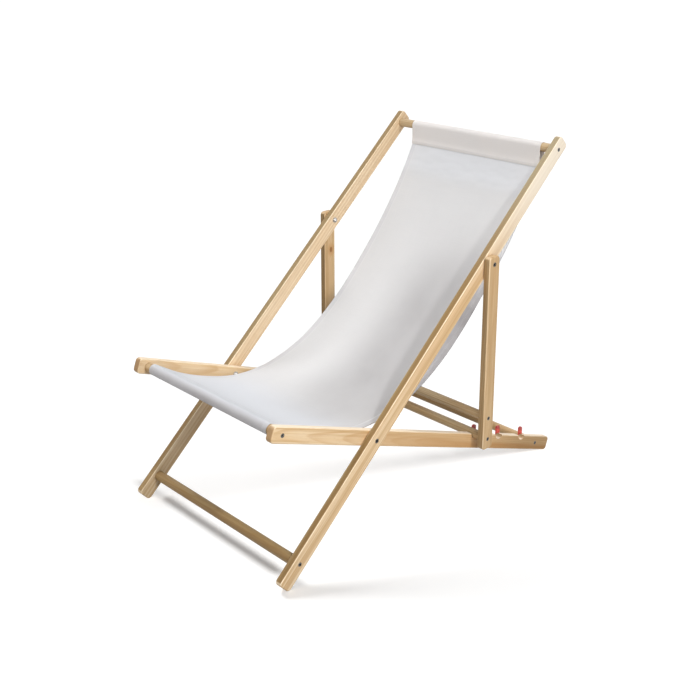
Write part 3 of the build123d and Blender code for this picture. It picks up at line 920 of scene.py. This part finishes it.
def stitches(name, rows, sides, seams, material):
    """Thread along both side hems of a stretch of cloth and across it at its seams."""
    vertices, faces = [], []
    start = rows[0].length + STITCH_PITCH / 2
    end = rows[-1].length - STITCH_PITCH
    edge = SLING_HALF_WIDTH - SIDE_STITCH
    for under in sides:
        for length in even(start, end, STITCH_PITCH):
            for across in (edge, -edge):
                first, away = thread_point(rows, length, across, under)
                second, _ = thread_point(rows, length + STITCH_LENGTH, across, under)
                add_stitch(vertices, faces, first, second, away)
    first_place = -SLING_HALF_WIDTH + SEAM_FIRST_STITCH
    last_place = SLING_HALF_WIDTH - SEAM_LAST_STITCH
    for length, under in seams:
        for across in even(first_place, last_place, STITCH_PITCH):
            first, away = thread_point(rows, length, across, under)
            second, _ = thread_point(rows, length, across + STITCH_LENGTH, under)
            add_stitch(vertices, faces, first, second, away)
    return make_piece(name, vertices, faces, material)


cloth_places = (front_rows[-1].length, back_rows[0].length, top_rows[0].length)
weave = canvas("canvas_weave", *cloth_places)
weave_under = canvas("canvas_underside", *cloth_places, under=True)
cotton = thread()
sling_seat = cloth_piece("sling_seat", cloth_rows["seat"], weave, weave_under)
sling_back = cloth_piece("sling_back", cloth_rows["back"], weave, weave_under)
sling_top = cloth_piece("sling_top_sleeve", cloth_rows["top"], weave)

seat_start = cloth_rows["seat"][0].length
front_seam_length = front_rows[-1].length
top_end = cloth_rows["top"][-1].length
seat_seams = [(seat_start + inset, False) for inset in SEAM_STITCHES]
seat_seams += [(front_seam_length + SEAM_ALLOWANCE - inset, False) for inset in SEAM_STITCHES]
top_seams = [(top_end - inset, True) for inset in SEAM_STITCHES]
seat_stitches = stitches("sling_seat_stitches", cloth_rows["seat"], (False, True), seat_seams, cotton)
back_stitches = stitches("sling_back_stitches", cloth_rows["back"], (False, True), [], cotton)
top_stitches = stitches("sling_top_stitches", cloth_rows["top"], (True,), top_seams, cotton)

# The sling's seat is baked in place, and its back and top sleeve are attached to the long frame
fold_row = back_rows[0]
fold_end = row_at(cloth_rows["seat"], fold_row.length - FOLD_LENGTH)
for piece in (sling_seat, seat_stitches):
    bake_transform(piece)
for piece in (sling_back, back_stitches):
    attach(piece, "long_frame")
    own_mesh(piece)
for piece in (sling_top, top_stitches):
    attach(piece, "long_frame")

sling_pieces = (sling_seat, seat_stitches, sling_back, back_stitches, sling_top, top_stitches)
held_by = {
    "seat": (sling_seat, seat_stitches, ["seat_front_dowel"]),
    "back": (sling_back, back_stitches, ["sling_top_sleeve", "sling_seat"]),
    "top": (sling_top, top_stitches, ["top_dowel"]),
}
for name, (piece, sewing, rests_on) in held_by.items():
    rows = cloth_rows[name]
    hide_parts("canvas_sling")


# Floor, light and camera

def shown_directly(tree):
    """1 for rays from the camera and for what metal or glass shows, 0 for light on the object."""
    path = tree.nodes.new("ShaderNodeLightPath")
    shown = path.outputs["Is Camera Ray"]
    for kind in ("Is Glossy Ray", "Is Transmission Ray"):
        either = tree.nodes.new("ShaderNodeMath")
        either.operation = "MAXIMUM"
        tree.links.new(shown, either.inputs[0])
        tree.links.new(path.outputs[kind], either.inputs[1])
        shown = either.outputs[0]
    return shown


def make_floor():
    """A pale floor that keeps the chair's shadow, and looks whiter than the light it throws back."""
    reach = FLOOR_REACH
    mesh = bpy.data.meshes.new("floor")
    corners = [(-reach, -reach, 0.0), (reach, -reach, 0.0), (reach, reach, 0.0), (-reach, reach, 0.0)]
    mesh.from_pydata(corners, [], [(0, 1, 2, 3)])
    floor = bpy.data.objects.new("floor", mesh)
    bpy.context.collection.objects.link(floor)
    finish = Finish("pale_floor")
    tree = finish.tree
    tree.nodes.remove(finish.shader)
    shown = shown_directly(tree)
    diffuse = finish.add("BsdfDiffuse", {"Color": finish.mix(shown, FLOOR_BOUNCE, FLOOR_SHOWN)})
    glow = finish.add("Emission", {"Strength": finish.product(shown, FLOOR_GLOW)})
    both = finish.add("AddShader", {0: diffuse, 1: glow})
    finish.put(tree.nodes["Material Output"].inputs["Surface"], both)
    mesh.materials.append(finish.material)
    return floor


def light_world():
    """A dim surround, cooler above, that is white where the camera sees it."""
    world = bpy.data.worlds.new("studio")
    bpy.context.scene.world = world
    world.use_nodes = True
    tree = world.node_tree
    output = tree.nodes["World Output"]
    seen = tree.nodes["Background"]
    seen.inputs["Color"].default_value = (1.0, 1.0, 1.0, 1.0)
    lighting = tree.nodes.new("ShaderNodeBackground")
    lighting.inputs["Strength"].default_value = SURROUND
    direction = tree.nodes.new("ShaderNodeTexCoord")
    parts = tree.nodes.new("ShaderNodeSeparateXYZ")
    tree.links.new(direction.outputs["Generated"], parts.inputs[0])
    tint = tree.nodes.new("ShaderNodeMix")
    tint.data_type = "RGBA"
    tint.inputs[6].default_value = SURROUND_BESIDE
    tint.inputs[7].default_value = SURROUND_ABOVE
    tree.links.new(parts.outputs["Z"], tint.inputs["Factor"])
    tree.links.new(tint.outputs[2], lighting.inputs["Color"])
    either = tree.nodes.new("ShaderNodeMixShader")
    tree.links.new(shown_directly(tree), either.inputs[0])
    tree.links.new(lighting.outputs[0], either.inputs[1])
    tree.links.new(seen.outputs[0], either.inputs[2])
    tree.links.new(either.outputs[0], output.inputs["Surface"])


def add_lamp(name, kind, energy, towards, place):
    """A lamp at a place, with the direction towards it from the chair."""
    light = bpy.data.lights.new(name, kind)
    light.energy = energy
    lamp = bpy.data.objects.new(name, light)
    lamp.location = place
    lamp.rotation_euler = towards.to_track_quat("Z", "Y").to_euler()
    lamp.visible_camera = False
    bpy.context.collection.objects.link(lamp)
    return lamp


def add_sun(name, strength, towards, spread):
    """A soft far-off lamp, with the direction towards it from the chair."""
    lamp = add_lamp(name, "SUN", strength, towards, towards)
    lamp.data.angle = spread
    return lamp


def group(name, things):
    """A collection that a lamp is linked to."""
    collection = bpy.data.collections.new(name)
    for thing in things:
        collection.objects.link(thing)
    return collection


def add_lamps(floor):
    """Lamps for the chair alone, and two for the floor, each with the pieces that shade it."""
    nodes = frame["nodes"]
    frame_only = group("frame_only", nodes.values())
    chair_only = group("chair_only", [*nodes.values(), *sling_pieces])
    floor_only = group("floor_only", [floor])
    right = add_sun("right", RIGHT_STRENGTH, RIGHT_FROM, RIGHT_SPREAD)
    left = add_sun("left", LEFT_STRENGTH, LEFT_FROM, LEFT_SPREAD)
    front = add_sun("front", FRONT_STRENGTH, FRONT_FROM, FRONT_SPREAD)
    for lamp in (right, left, front):
        lamp.light_linking.receiver_collection = chair_only
    floor_right = add_sun("floor_right", FLOOR_RIGHT_STRENGTH, FLOOR_RIGHT_FROM, FLOOR_RIGHT_SPREAD)
    floor_left = add_sun("floor_left", FLOOR_LEFT_STRENGTH, FLOOR_LEFT_FROM, FLOOR_LEFT_SPREAD)
    for lamp, rail in ((floor_right, "seat_rail_right"), (floor_left, "long_rail_right")):
        lamp.light_linking.receiver_collection = floor_only
        blockers = group(lamp.name + "_blockers", [nodes[rail], nodes["foot_stretcher"]])
        lamp.light_linking.blocker_collection = blockers
    box = add_lamp("box", "AREA", BOX_POWER, BOX_PLACE - BOX_AIM, BOX_PLACE)
    box.data.size = BOX_SIZE
    box.light_linking.receiver_collection = frame_only


def add_camera():
    """A camera at the photograph's viewing angle."""
    lens = bpy.data.cameras.new("camera")
    lens.lens = CAMERA_LENS
    lens.sensor_width = CAMERA_SENSOR
    lens.shift_y = CAMERA_SHIFT
    camera = bpy.data.objects.new("camera", lens)
    camera.location = CAMERA_PLACE
    camera.rotation_euler = (CAMERA_PITCH, 0.0, CAMERA_TURN)
    bpy.context.collection.objects.link(camera)
    bpy.context.scene.camera = camera


pale_floor = make_floor()
light_world()
add_lamps(pale_floor)
add_camera()
bpy.context.scene.view_settings.view_transform = "Standard"
